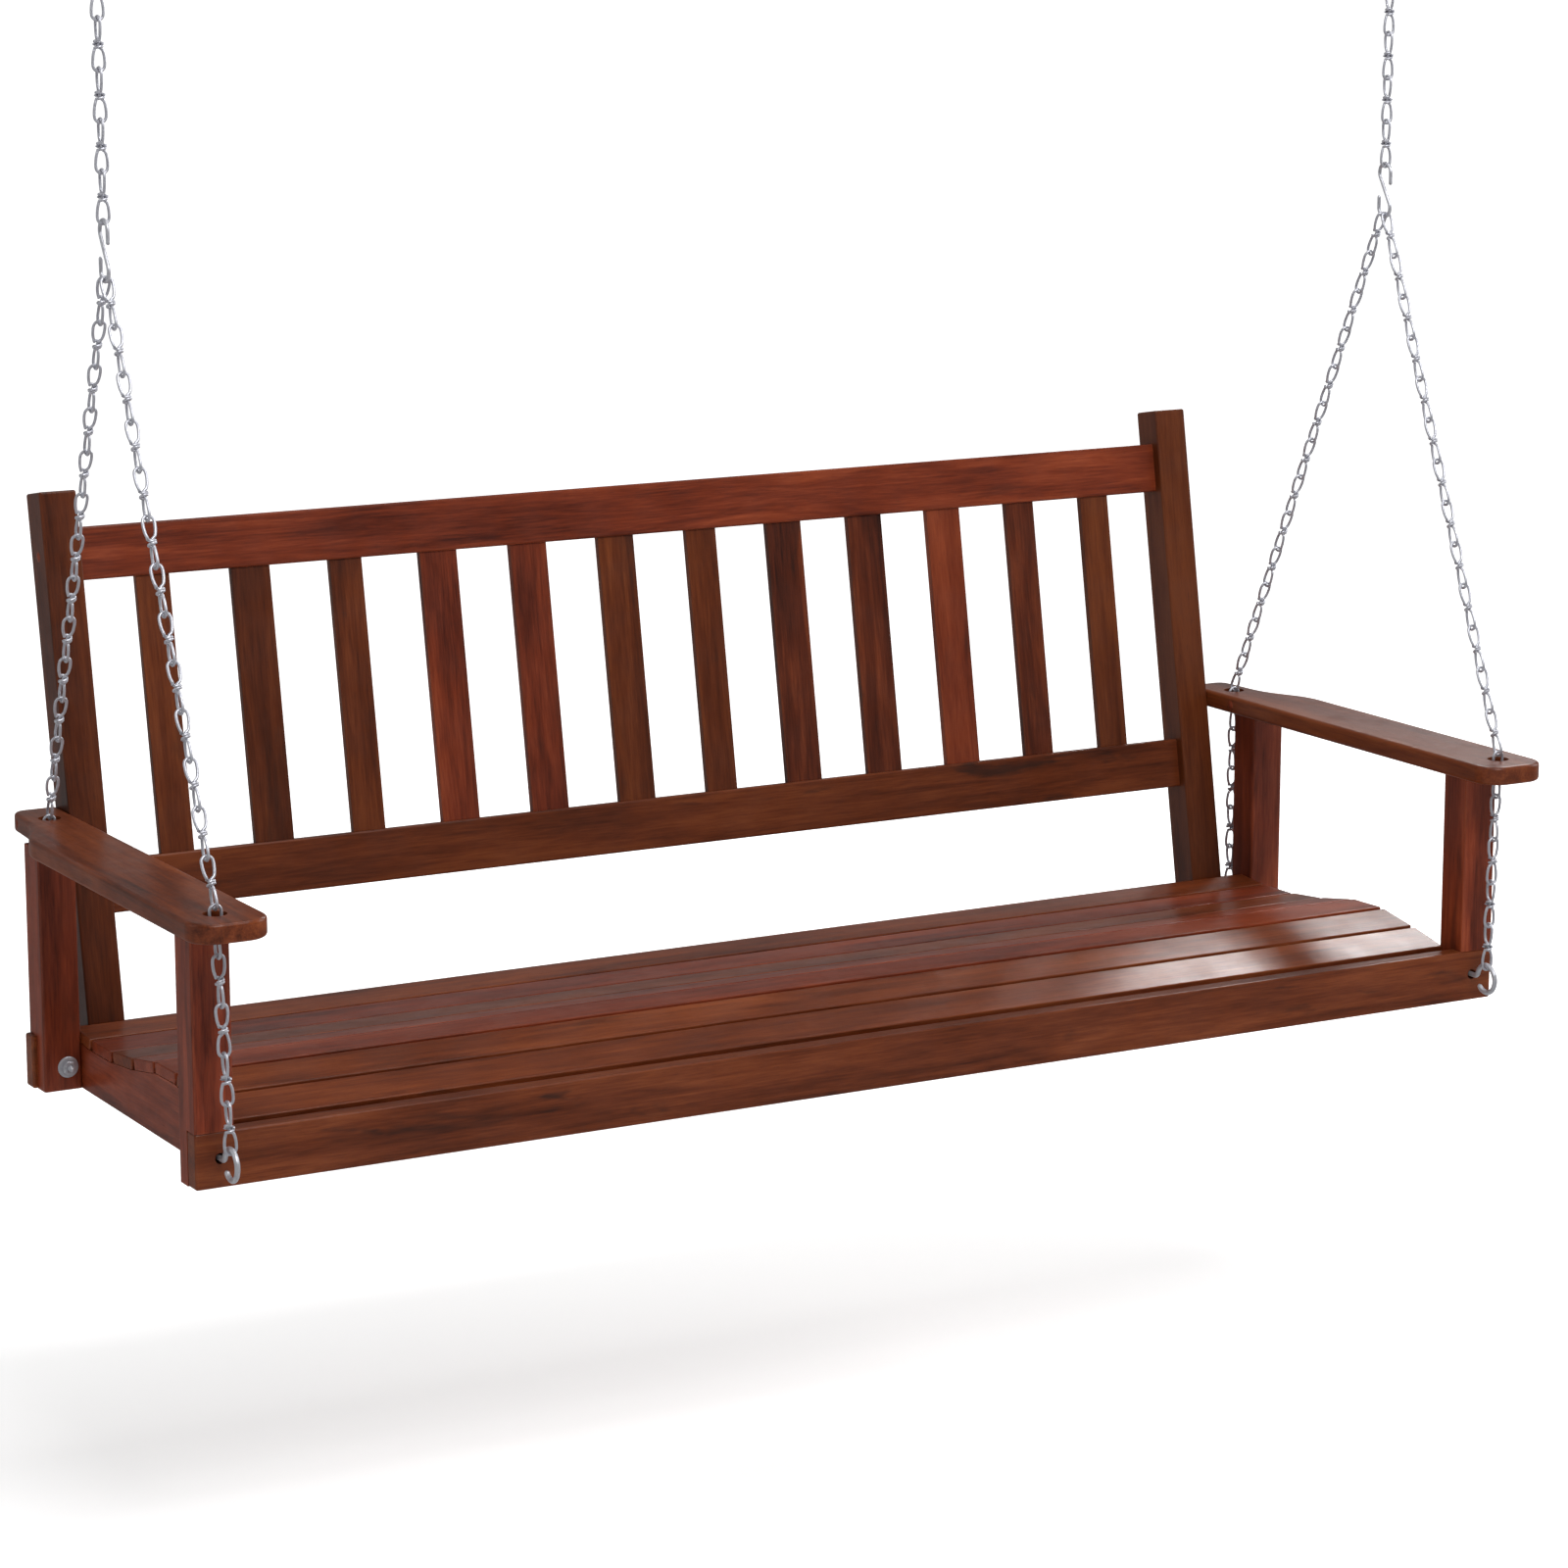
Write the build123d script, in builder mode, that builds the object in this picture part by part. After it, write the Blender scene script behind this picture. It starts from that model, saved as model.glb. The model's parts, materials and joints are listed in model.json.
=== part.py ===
"""Hardwood porch swing on two pairs of double-loop chains, hung from two ceiling screw hooks.

The origin is halfway between the two ceiling hooks, in the plane of the ceiling.
X runs along the bench, +Y to its back, +Z up.  The seat pieces are drawn on planes whose own
zero is the seat datum: the front rail's front face (y) and its top edge (z).
"""
from build123d import *
from math import acos, asin, cos, degrees, radians, sin, sqrt, tan
import os

os.makedirs("parts", exist_ok=True)

# ---------------------------------------------------------------- driving dimensions, mm
# frame
rail_half_length = 760.0
rail_height = 55.0
rail_thickness = 20.0
post_width = 40.0
arm_height = 216.6
arm_thickness = 20.0
frame_depth = 440.0
edge_round = 2.5
rear_rail_overhang = 5.0
side_rail_thickness = 20.0
bearer_width = 20.0

# seat slats: equal boards that follow an S-shaped seat line
slat_pitch = 57.0
slat_depth = 51.0
slat_thickness = 12.0
slat_start = 34.0
slat_front_heights = [0.0, 11.5, 20.8, 18.3, 8.3, 2.3, 1.5]
slat_rear_heights = [10.8, 20.0, 19.6, 9.5, 3.3, 1.8, 5.0]
slat_rear_gap = 1.5
slat_round = 1.5

# back
back_lean = 10.0
back_foot = 430.0
upright_inner = 660.0
upright_top = 539.0
back_rail_setback = 12.0
back_rail_thickness = 16.0
back_rail_height = 55.0
lower_rail_foot = 111.5
top_rail_foot = 454.5
back_slat_thickness = 8.5
back_slat_tenon = 12.0
back_slat_first = -579.7
back_slat_step = 109.5
back_slat_closing = 0.4
back_slat_narrow = 37.0
back_slat_wide = 43.5
back_slat_round = 1.0
back_slat_count = 12
narrow_back_slats = [1, 3, 7, 11, 12]

# armrests
arm_front = -65.0
arm_rear = 506.0
arm_inner = 700.0
arm_outer = 780.0
arm_front_hole = (743.4, -22.8)
arm_rear_hole = (727.0, 452.0)
arm_hole_r = 11.75
arm_edge_round = 4.0
arm_front_corner_r = 27.0
arm_tail_corner_r = 14.0
arm_taper_start_y = 355.0
arm_taper_end = (752.0, 450.0)
arm_taper_pull = (0.0, 40.0)
arm_taper_settle = (3.0, -45.0)
arm_tail_x = 748.0
arm_upright_screw_y = 488.0
arm_plug_x = 749.0

# chain, S-hooks, hook bolts and ceiling hooks
chain_wire_r = 1.7
chain_loop_width = 15.2
chain_loop_height = 27.5
link_height = 51.1
link_pitch = 47.4
knot_r = 3.8
knot_height = 7.0
leg_links = 13
drop_links = 5
upper_links = 5
twisted_link = 15
play = 0.15
s_hook_wire_r = 2.0
s_hook_arc_r = 10.0
s_hook_centres = 38.0
s_hook_tail = 13.0
hang_x = 744.3
hang_y = 208.0
hang_z = 792.0
bolt_wire_r = 2.75
bolt_ring_r = 15.0
bolt_bend_r = 6.0
bolt_ring_reach = 25.5
bolt_tip_angle = 35.0
bolt_front = (734.5, -26.0)
bolt_rear = (735.0, -31.0)
bolt_hole_r = 5.5
bolt_close_hole_r = 3.0
washer_r = 11.0
washer_thickness = 1.5
nut_flats = 13.0
nut_height = 5.0
bolt_past_nut = 7.0
ceiling_wire_r = 3.5
ceiling_arc_r = 16.0
ceiling_bend_r = 8.0
ceiling_bearing = 5.0
ceiling_gap = 10.0
ceiling_thread = 60.0
ceiling_tip_angle = 115.0
ceiling_tip_chamfer = 1.5

# hidden fixings
plug_r = 5.0
plug_depth = 6.0
plug_dome = 1.2
screw_r = 2.2
screw_head_r = 4.2
screw_head = 3.0
screw_length = 45.0
side_screw_lift = 10.0
side_screw_inset = 8.0
foot_screw_heights = [-15.0, -40.0]
foot_pilot_wall = 1.5
arm_screw_reach = 50.0
arm_screw_length = 60.0
arm_pin_length = 30.0
upright_pilot = 20.0
back_rail_pilot = 30.0
back_screw_length = 60.0
tip_gap = 1.0
foot_screw_recess = 10.0
foot_screw_length = 38.0
dowel_r = 6.0
dowel_depth = 18.0
dowel_rise = 14.0
fit_gap = 0.05

# ---------------------------------------------------------------- derived places
foot_screws = [(upright_inner + post_width / 2, z) for z in foot_screw_heights]
loop_r = chain_loop_width / 2 - chain_wire_r
loop_straight = chain_loop_height - chain_loop_width
lean_sin = sin(radians(back_lean))
lean_cos = cos(radians(back_lean))
lean_tan = tan(radians(back_lean))
ring_inset = s_hook_arc_r - s_hook_wire_r - chain_wire_r - play

# the ceiling hook: a bend one way, then the bowl the other way, its bearing under the shank
bend_angle = degrees(acos((ceiling_bend_r - ceiling_bearing / 2) / (ceiling_bend_r + ceiling_arc_r)))
bowl_drop = (ceiling_bend_r + ceiling_arc_r) * sin(radians(bend_angle)) + ceiling_arc_r
bearing_z = -ceiling_gap - bowl_drop

# the upper chain hangs from that bearing and ends on the S-hook
upper_top_z = bearing_z + ceiling_wire_r + chain_wire_r + play
upper_bottom_z = upper_top_z - (upper_links - 1) * link_pitch - link_height
s_hook_upper_z = upper_bottom_z - ring_inset
pivot_z = s_hook_upper_z - s_hook_centres
seat_y = -hang_y
seat_z = pivot_z - hang_z
print(f"seat datum at y {seat_y:.2f}, z {seat_z:.2f}")
print(f"ceiling bearing z {bearing_z:.2f}; pivot z {pivot_z:.2f}")


# ---------------------------------------------------------------- planes and small helpers
def across(x):
    """Plane square to X: its x is the seat's depth, its y the height."""
    return Plane(origin=(x, seat_y, seat_z), x_dir=(0, 1, 0), z_dir=(1, 0, 0))


def level(z):
    """Horizontal plane at a height over the seat datum."""
    return Plane(origin=(0, seat_y, seat_z + z), x_dir=(1, 0, 0), z_dir=(0, 0, 1))


def facing(y):
    """Upright plane across the bench, seen from the front: its x is X, its y the height."""
    return Plane(origin=(0, seat_y + y, seat_z), x_dir=(1, 0, 0), z_dir=(0, -1, 0))


def leaning(depth):
    """Plane along the back's slope, set back by a depth from the uprights' front faces."""
    return Plane(
        origin=(0, seat_y + back_foot + depth * lean_cos, seat_z - depth * lean_sin),
        x_dir=(1, 0, 0),
        z_dir=(0, -lean_cos, lean_sin),
    )


def seat_point(x, y, z):
    """A point of the seat, given over the seat datum, in the part's own frame."""
    return Vector(x, seat_y + y, seat_z + z)


def rectangle(x0, y0, x1, y1):
    """A rectangle between two corners, in the sketch that is open."""
    with Locations(((x0 + x1) / 2, (y0 + y1) / 2)):
        Rectangle(abs(x1 - x0), abs(y1 - y0))


def bore(plane, points, radius, depth):
    """Blind or through holes from a plane, against its normal, in the part that is open."""
    with BuildSketch(plane) as mouths:
        with Locations(*points):
            Circle(radius)
    extrude(mouths.sketch, amount=-depth, mode=Mode.SUBTRACT)


def rod(plane, points, radius, depth):
    """Round bars from a plane, against its normal, in the part that is open."""
    with BuildSketch(plane) as ends:
        with Locations(*points):
            Circle(radius)
    extrude(ends.sketch, amount=-depth)


def save(piece, name):
    """Label a finished piece and write it."""
    piece.part.label = name
    export_step(piece.part, f"parts/{name}.step")


# ---------------------------------------------------------------- front and rear rails
post_inner = rail_half_length - post_width
side_rail_inner = post_inner - side_rail_thickness
rear_face = frame_depth - rail_thickness
rear_post_face = frame_depth - post_width

with BuildPart() as front_rail:
    with BuildSketch(facing(0)):
        rectangle(-rail_half_length, -rail_height, rail_half_length, 0)
    extrude(amount=-rail_thickness)
    fillet(front_rail.edges(), edge_round)
    bore(facing(0), [(-bolt_front[0], bolt_front[1]), bolt_front], bolt_hole_r, rail_thickness)
save(front_rail, "front_rail")

rear_rail_half_length = rail_half_length + rear_rail_overhang
with BuildPart() as rear_rail:
    with BuildSketch(facing(rear_face)):
        rectangle(-rear_rail_half_length, -rail_height, rear_rail_half_length, 0)
    extrude(amount=-rail_thickness)
    fillet(rear_rail.edges(), edge_round)
    bore(facing(rear_face), [(-bolt_rear[0], bolt_rear[1]), bolt_rear], bolt_hole_r, rail_thickness)
    bore(facing(frame_depth), [(sign * x, z) for sign in (-1, 1) for x, z in foot_screws],
         screw_r + fit_gap, -(rail_thickness - foot_pilot_wall))
save(rear_rail, "rear_rail")

# ---------------------------------------------------------------- seat slats and what carries them
slat_count = len(slat_front_heights)
slat_fronts = [slat_start + slat_pitch * i for i in range(slat_count)]
slat_tops = [
    ((y, front), (min(y + slat_depth, rear_face - slat_rear_gap), rear))
    for y, front, rear in zip(slat_fronts, slat_front_heights, slat_rear_heights)
]


def slat_outline(top):
    """The four corners of a tilted slat: its top edge, and its underside square below it."""
    (y0, z0), (y1, z1) = top
    run = sqrt((y1 - y0) ** 2 + (z1 - z0) ** 2)
    down = Vector((z1 - z0) / run, -(y1 - y0) / run) * slat_thickness
    return [(y0, z0), (y1, z1), (y1 + down.X, z1 + down.Y), (y0 + down.X, z0 + down.Y)]


for number, top in enumerate(slat_tops, start=1):
    with BuildPart() as seat_slat:
        with BuildSketch(across(-post_inner)):
            with BuildLine():
                Polyline(*slat_outline(top), close=True)
            make_face()
        extrude(amount=2 * post_inner)
        fillet(seat_slat.edges(), slat_round)
    save(seat_slat, f"seat_slat_{number}")

# the carriers' top edge follows the undersides of the slats, and stops at the rear rail
slat_seats = []
for top in slat_tops:
    corners = slat_outline(top)
    slat_seats += [corners[3], corners[2]]
last_front, last_rear = slat_seats[-2:]
last_slope = (last_rear[1] - last_front[1]) / (last_rear[0] - last_front[0])
slat_seats[-1] = (rear_face, last_front[1] + last_slope * (rear_face - last_front[0]))
carrier_outline = [(rail_thickness, -rail_height), (rail_thickness, slat_seats[0][1])]
carrier_outline += slat_seats + [(rear_face, -rail_height)]

side_screw_z = side_screw_lift - rail_height
side_screw_points = [
    (post_width - side_screw_inset, side_screw_z),
    (rear_post_face + side_screw_inset, side_screw_z),
]
for side, sign, x in (("left", -1, -post_inner), ("right", 1, side_rail_inner)):
    with BuildPart() as side_rail:
        with BuildSketch(across(x)):
            with BuildLine():
                Polyline(*carrier_outline, close=True)
            make_face()
        extrude(amount=side_rail_thickness)
        bore(across(x + side_rail_thickness), side_screw_points, screw_r + fit_gap, side_rail_thickness)
        inner_face = across(sign * side_rail_inner)
        bore(inner_face, side_screw_points, screw_head_r + fit_gap, -sign * screw_head)
    save(side_rail, f"{side}_side_rail")

with BuildPart() as centre_bearer:
    with BuildSketch(across(-bearer_width / 2)):
        with BuildLine():
            Polyline(*carrier_outline, close=True)
        make_face()
    extrude(amount=bearer_width)
save(centre_bearer, "centre_bearer")

# ---------------------------------------------------------------- posts
post_top = arm_height - arm_thickness
front_post_outline = [
    (rail_thickness, -rail_height),
    (post_width, -rail_height),
    (post_width, post_top),
    (0, post_top),
    (0, 0),
    (rail_thickness, 0),
]
rear_post_outline = [
    (rear_post_face, -rail_height),
    (rear_face, -rail_height),
    (rear_face, 0),
    (frame_depth, 0),
    (frame_depth, post_top),
    (rear_post_face, post_top),
]
for side, sign in (("left", -1), ("right", 1)):
    for place, outline, bolt in (
        ("front", front_post_outline, bolt_front),
        ("rear", rear_post_outline, bolt_rear),
    ):
        post_start = post_inner if sign > 0 else -rail_half_length
        centre_y = post_width / 2 if place == "front" else frame_depth - post_width / 2
        screw_point = side_screw_points[0] if place == "front" else side_screw_points[1]
        with BuildPart() as post:
            with BuildSketch(across(post_start)):
                with BuildLine():
                    Polyline(*outline, close=True)
                make_face()
            extrude(amount=post_width)
            long_edges = post.edges().filter_by(Axis.Z).filter_by(lambda edge: edge.length > post_top * 0.95)
            fillet(long_edges, edge_round)
            bore(facing(0), [(sign * bolt[0], bolt[1])], bolt_close_hole_r, frame_depth)
            bore(level(post_top), [(sign * (post_inner + post_width / 2), centre_y)], dowel_r + fit_gap,
                 dowel_depth + tip_gap)
            bore(across(sign * post_inner), [screw_point], screw_r + fit_gap,
                 -sign * (screw_length - side_rail_thickness + tip_gap))
        save(post, f"{side}_{place}_post")

# ---------------------------------------------------------------- armrests
arm_screw_z = arm_height - arm_thickness / 2
upright_screw = (arm_upright_screw_y, arm_screw_z)
post_pin = (frame_depth - post_width / 2, arm_screw_z)
arm_dowel_spots = [(post_inner + post_width / 2, post_width / 2), (post_inner + post_width / 2, post_pin[0])]

for side, sign in (("left", -1), ("right", 1)):
    with BuildPart() as armrest:
        pulled = (arm_outer + arm_taper_pull[0], arm_taper_start_y + arm_taper_pull[1])
        settled = (arm_taper_end[0] + arm_taper_settle[0], arm_taper_end[1] + arm_taper_settle[1])
        with BuildSketch(level(post_top)) as arm_plan:
            with BuildLine():
                Line((sign * arm_inner, arm_front), (sign * arm_outer, arm_front))
                Line((sign * arm_outer, arm_front), (sign * arm_outer, arm_taper_start_y))
                Bezier(
                    (sign * arm_outer, arm_taper_start_y),
                    (sign * pulled[0], pulled[1]),
                    (sign * settled[0], settled[1]),
                    (sign * arm_taper_end[0], arm_taper_end[1]),
                )
                Line((sign * arm_taper_end[0], arm_taper_end[1]), (sign * arm_tail_x, arm_rear))
                Line((sign * arm_tail_x, arm_rear), (sign * arm_inner, arm_rear))
                Line((sign * arm_inner, arm_rear), (sign * arm_inner, arm_front))
            make_face()
            front_corners = arm_plan.vertices().group_by(Axis.Y)[0]
            fillet(front_corners, arm_front_corner_r)
            tail = arm_plan.vertices().group_by(Axis.Y)[-1].sort_by(Axis.X)[-1 if sign > 0 else 0]
            fillet(tail, arm_tail_corner_r)
        extrude(amount=arm_thickness)
        fillet(armrest.edges().group_by(Axis.Z)[-1] + armrest.edges().group_by(Axis.Z)[0], arm_edge_round)
        bore(level(arm_height), [(sign * arm_front_hole[0], arm_front_hole[1]),
                                 (sign * arm_rear_hole[0], arm_rear_hole[1])], arm_hole_r, arm_thickness)
        bore(level(post_top), [(sign * x, y) for x, y in arm_dowel_spots], dowel_r + fit_gap,
             -(dowel_rise + tip_gap))
        bore(across(sign * arm_outer), [upright_screw], plug_r + fit_gap,
             sign * (arm_outer - arm_plug_x + plug_depth + screw_head))
        bore(across(sign * arm_inner), [upright_screw], screw_r + fit_gap, -sign * arm_screw_reach)
        bore(across(sign * arm_inner), [post_pin], plug_r + fit_gap, -sign * (plug_depth + screw_head))
        bore(across(sign * arm_inner), [post_pin], screw_r + fit_gap, -sign * (plug_depth + arm_pin_length))
    save(armrest, f"{side}_armrest")

# ---------------------------------------------------------------- uprights and back rails
upright_slope = upright_top / lean_cos
back_depth = post_width / lean_cos
front_top = (back_foot + upright_slope * lean_sin, upright_top)
rear_top = (front_top[0] + post_width * lean_cos, upright_top - post_width * lean_sin)
upright_outline = [
    (frame_depth, -rail_height),
    (back_foot + back_depth - rail_height * lean_tan, -rail_height),
    rear_top,
    front_top,
    (back_foot, 0),
    (frame_depth, 0),
]
back_rail_feet = (("lower_back_rail", lower_rail_foot), ("top_rail", top_rail_foot))
back_screw_depth = back_rail_setback + back_rail_thickness / 2


def back_screw_point(foot):
    """Where the screw through an upright meets the middle of a back rail's end."""
    along = foot + back_rail_height / 2
    y = back_foot + along * lean_sin + back_screw_depth * lean_cos
    return (y, along * lean_cos - back_screw_depth * lean_sin)


back_screws = [back_screw_point(foot) for name, foot in back_rail_feet]
for side, sign in (("left", -1), ("right", 1)):
    upright_outer = sign * (upright_inner + post_width)
    with BuildPart() as upright:
        with BuildSketch(across(upright_inner if sign > 0 else -upright_inner - post_width)):
            with BuildLine():
                Polyline(*upright_outline, close=True)
            make_face()
        extrude(amount=post_width)
        rounded = upright.edges().filter_by(lambda edge: edge.length > upright_top * 0.75)
        crown = upright.faces().sort_by(Axis.Z)[-1].edges()
        fillet(rounded + crown, edge_round)
        bore(across(upright_outer), back_screws, screw_r + fit_gap, sign * post_width)
        bore(across(upright_outer), back_screws, plug_r + fit_gap, sign * (plug_depth + screw_head))
        bore(across(upright_outer), [upright_screw], screw_r + fit_gap, sign * upright_pilot)
        bore(facing(back_foot + back_depth), [(sign * x, z) for x, z in foot_screws],
             screw_r + fit_gap, -back_depth)
        bore(facing(back_foot + back_depth), [(sign * x, z) for x, z in foot_screws],
             screw_head_r + fit_gap, -(foot_screw_recess + screw_head))
    save(upright, f"{side}_upright")

slat_centres = [
    back_slat_first + back_slat_step * i - back_slat_closing * i * i
    for i in range(back_slat_count)
]
slat_widths = [
    back_slat_narrow if number in narrow_back_slats else back_slat_wide
    for number in range(1, back_slat_count + 1)
]
slat_front_depth = back_rail_setback + (back_rail_thickness - back_slat_thickness) / 2
slat_foot = lower_rail_foot + back_rail_height - back_slat_tenon
slat_head = top_rail_foot + back_slat_tenon

for name, foot in back_rail_feet:
    with BuildPart() as back_rail:
        with BuildSketch(leaning(back_rail_setback)):
            rectangle(-upright_inner, foot, upright_inner, foot + back_rail_height)
        extrude(amount=-back_rail_thickness)
        fillet(back_rail.edges().filter_by(Axis.X), edge_round)
        with BuildSketch(leaning(slat_front_depth)):
            for centre, width in zip(slat_centres, slat_widths):
                rectangle(centre - width / 2, slat_foot, centre + width / 2, slat_head)
        extrude(amount=-back_slat_thickness, mode=Mode.SUBTRACT)
        bore(across(-upright_inner), [back_screw_point(foot)], screw_r + fit_gap, -back_rail_pilot)
        bore(across(upright_inner), [back_screw_point(foot)], screw_r + fit_gap, back_rail_pilot)
    save(back_rail, name)

for number, (centre, width) in enumerate(zip(slat_centres, slat_widths), start=1):
    with BuildPart() as back_slat:
        with BuildSketch(leaning(slat_front_depth)):
            rectangle(centre - width / 2, slat_foot, centre + width / 2, slat_head)
        extrude(amount=-back_slat_thickness)
        long_edges = back_slat.edges().filter_by(lambda edge: edge.length > back_slat_wide * 2)
        fillet(long_edges, back_slat_round)
    save(back_slat, f"back_slat_{number:02d}")


# ---------------------------------------------------------------- screws, plugs and dowels
def screw(plane, points, sign, length):
    """Countersunk screws whose head ends lie on a plane, driven along -sign times its normal."""
    rod(plane, points, screw_head_r, sign * screw_head)
    rod(plane, points, screw_r, sign * length)


def plug(plane, points, sign, depth):
    """Plugs a little proud of a plane, with a domed face."""
    half = plug_r / 2
    sphere_r = (plug_r**2 + plug_dome**2) / (2 * plug_dome)
    normal = plane.z_dir * sign
    for u, v in points:
        centre = plane.from_local_coords((u, v, 0))
        axis_plane = Plane(origin=centre, z_dir=normal)
        profile_plane = Plane(origin=centre, x_dir=axis_plane.x_dir, z_dir=axis_plane.y_dir * -1)
        with BuildSketch(profile_plane) as profile:
            with BuildLine():
                Line((0, -depth), (plug_r, -depth))
                Line((plug_r, -depth), (plug_r, 0))
                ThreePointArc((plug_r, 0), (half, sqrt(sphere_r**2 - half**2) - sphere_r + plug_dome),
                              (0, plug_dome))
                Line((0, plug_dome), (0, -depth))
            make_face()
        revolve(profile.sketch, axis=Axis(centre, normal))


with BuildPart() as upright_screws:
    for sign in (-1, 1):
        face = sign * (upright_inner + post_width)
        screw(across(face - sign * plug_depth), back_screws, sign, back_screw_length)
save(upright_screws, "upright_screws")

with BuildPart() as upright_plugs:
    for sign in (-1, 1):
        face = sign * (upright_inner + post_width)
        plug(across(face), back_screws, sign, plug_depth)
save(upright_plugs, "upright_plugs")

with BuildPart() as arm_screws:
    for sign in (-1, 1):
        screw(across(sign * (arm_plug_x - plug_depth)), [upright_screw], sign, arm_screw_length)
        screw(across(sign * (arm_inner + plug_depth)), [post_pin], -sign, arm_pin_length - tip_gap)
save(arm_screws, "arm_screws")

with BuildPart() as arm_plugs:
    for sign in (-1, 1):
        plug(across(sign * arm_plug_x), [upright_screw], sign, plug_depth)
        plug(across(sign * arm_inner), [post_pin], -sign, plug_depth)
save(arm_plugs, "arm_plugs")

with BuildPart() as arm_dowels:
    for sign in (-1, 1):
        rod(level(post_top + dowel_rise), [(sign * x, y) for x, y in arm_dowel_spots], dowel_r,
            dowel_rise + dowel_depth)
        bore(across(sign * arm_inner), [post_pin], screw_r + fit_gap, -sign * (plug_depth + arm_pin_length))
save(arm_dowels, "arm_dowels")

with BuildPart() as side_rail_screws:
    for sign in (-1, 1):
        screw(across(sign * side_rail_inner), side_screw_points, -sign, screw_length)
save(side_rail_screws, "side_rail_screws")

with BuildPart() as upright_foot_screws:
    for sign in (-1, 1):
        screw(facing(back_foot + back_depth - foot_screw_recess), [(sign * x, z) for x, z in foot_screws],
              -1, foot_screw_length)
save(upright_foot_screws, "upright_foot_screws")


# ---------------------------------------------------------------- chain links
def link_loop(plane, top):
    """One wire loop of a link, in a plane, its top wire's centre a distance below the plane's zero."""
    with BuildPart(mode=Mode.PRIVATE) as loop:
        with BuildLine(plane) as route:
            Line((loop_r, -top - loop_r), (loop_r, -top - loop_r - loop_straight))
            CenterArc((0, -top - loop_r - loop_straight), loop_r, 0, -180)
            Line((-loop_r, -top - loop_r - loop_straight), (-loop_r, -top - loop_r))
            CenterArc((0, -top - loop_r), loop_r, 180, -180)
        start = plane.from_local_coords((loop_r, -top - loop_r, 0))
        with BuildSketch(Plane(origin=start, x_dir=plane.x_dir, z_dir=plane.y_dir)) as wire:
            Circle(chain_wire_r)
        sweep(wire.sketch, path=route.wires()[0])
    return loop.part


def chain_link(lower_plane):
    """A double-loop link hanging from the origin: two loops of wire and the knot between them."""
    loop_height = 2 * loop_r + loop_straight
    with BuildPart() as link:
        add(link_loop(Plane.XZ, 0))
        add(link_loop(lower_plane, link_height - loop_height))
        with BuildSketch(Plane.XY.offset(-link_height / 2 + knot_height / 2)) as knot:
            Circle(knot_r)
        extrude(knot.sketch, amount=-knot_height)
    return link.part


crossed_link = chain_link(Plane.YZ)
flat_link = chain_link(Plane.XZ)


def link_plane(top, down, quarter_turn):
    """Where a link's own frame goes: its top wire's centre, and the way it hangs."""
    across_link = Vector(0, 1, 0) if quarter_turn else Vector(1, 0, 0)
    across_link = (across_link - down * across_link.dot(down)).normalized()
    return Plane(origin=top, x_dir=across_link, z_dir=down * -1)


def link_places(start, end, count, quarter_turn=False):
    """The frames of links hung in line from a start to where the next link's top wire is."""
    run = end - start
    down = run.normalized()
    return [link_plane(start + run * (i / count), down, quarter_turn) for i in range(count)]


def chain(places, flat_at=None):
    """A length of chain, each link a solid of its own."""
    with BuildPart() as links:
        for i, place in enumerate(places):
            link = flat_link if i == flat_at else crossed_link
            add(link.moved(place.location))
    return links


gripped_wire = bolt_wire_r + chain_wire_r + play
drop_length = (drop_links - 1) * link_pitch + link_height
for side, sign in (("left", -1), ("right", 1)):
    pivot = Vector(sign * hang_x, 0, pivot_z)
    for place, bolt, ring_y, hole in (
        ("front", bolt_front, -bolt_ring_reach, arm_front_hole),
        ("rear", bolt_rear, frame_depth + bolt_ring_reach, arm_rear_hole),
    ):
        drop_end = seat_point(sign * bolt[0], ring_y, bolt[1] + bolt_ring_r - gripped_wire)
        shift_x = sign * hole[0] - drop_end.X
        shift_y = seat_y + hole[1] - drop_end.Y
        rise = sqrt(drop_length**2 - shift_x**2 - shift_y**2)
        arm_point = drop_end + Vector(shift_x, shift_y, rise)
        leg = (arm_point - pivot).normalized()
        leg_start = pivot + leg * ring_inset
        drop = (drop_end - arm_point).normalized()
        places = link_places(leg_start, arm_point, leg_links)
        places += link_places(arm_point, arm_point + drop * drop_links * link_pitch, drop_links)
        for i in range(twisted_link + 1, leg_links + drop_links):
            places[i] = link_plane(places[i].origin, drop, True)
        pitch = (arm_point - leg_start).length / leg_links
        wire_gap = link_height - pitch - 2 * chain_wire_r
        print(f"{side} {place} leg: pitch {pitch:.2f}, wire gap {wire_gap:.2f}")
        leg_chain = chain(places, flat_at=twisted_link)
        save(leg_chain, f"{side}_{place}_leg_chain")

    upper_places = []
    for i in range(upper_links):
        top = Vector(sign * hang_x, 0, upper_top_z - i * link_pitch)
        upper_places.append(link_plane(top, Vector(0, 0, -1), True))
    upper_chain = chain(upper_places)
    save(upper_chain, f"{side}_upper_chain")

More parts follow.
